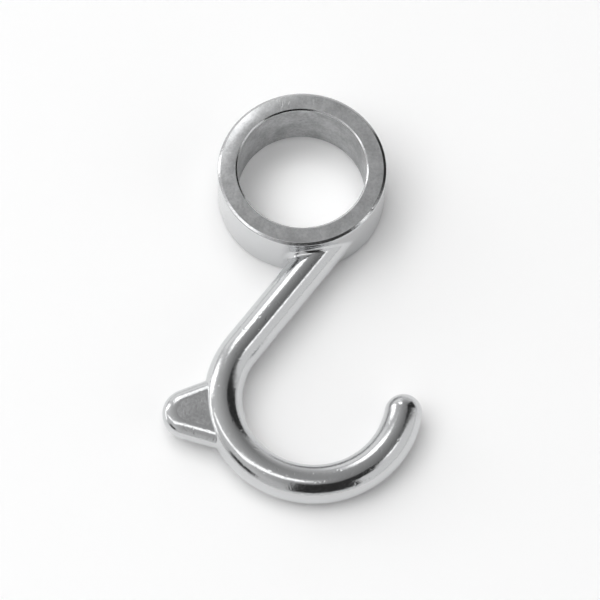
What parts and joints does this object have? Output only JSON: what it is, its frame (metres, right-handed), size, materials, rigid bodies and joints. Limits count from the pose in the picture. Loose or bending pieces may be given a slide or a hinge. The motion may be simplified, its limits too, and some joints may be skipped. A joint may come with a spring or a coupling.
{
  "type": "pipe display hook",
  "caption": "One-piece polished metal hook: a ring that slides on a round display pipe, a slanting round shank, an open bowl with a domed tip and a flat tongue on its back.",
  "frame": {"origin": "centre of the ring's bore, on the hook's middle plane", "axes": "+Z along the bore, up as the hook lies flat; the shank and bowl run towards -Y, the tip is on the +X side and the tongue on the -X side"},
  "size_m": [0.0512, 0.0861, 0.0126],
  "materials": {
    "polished_metal": "polished"
  },
  "bodies": {
    "root": {"pipe_hook": "polished_metal"}
  },
  "joints": []
}
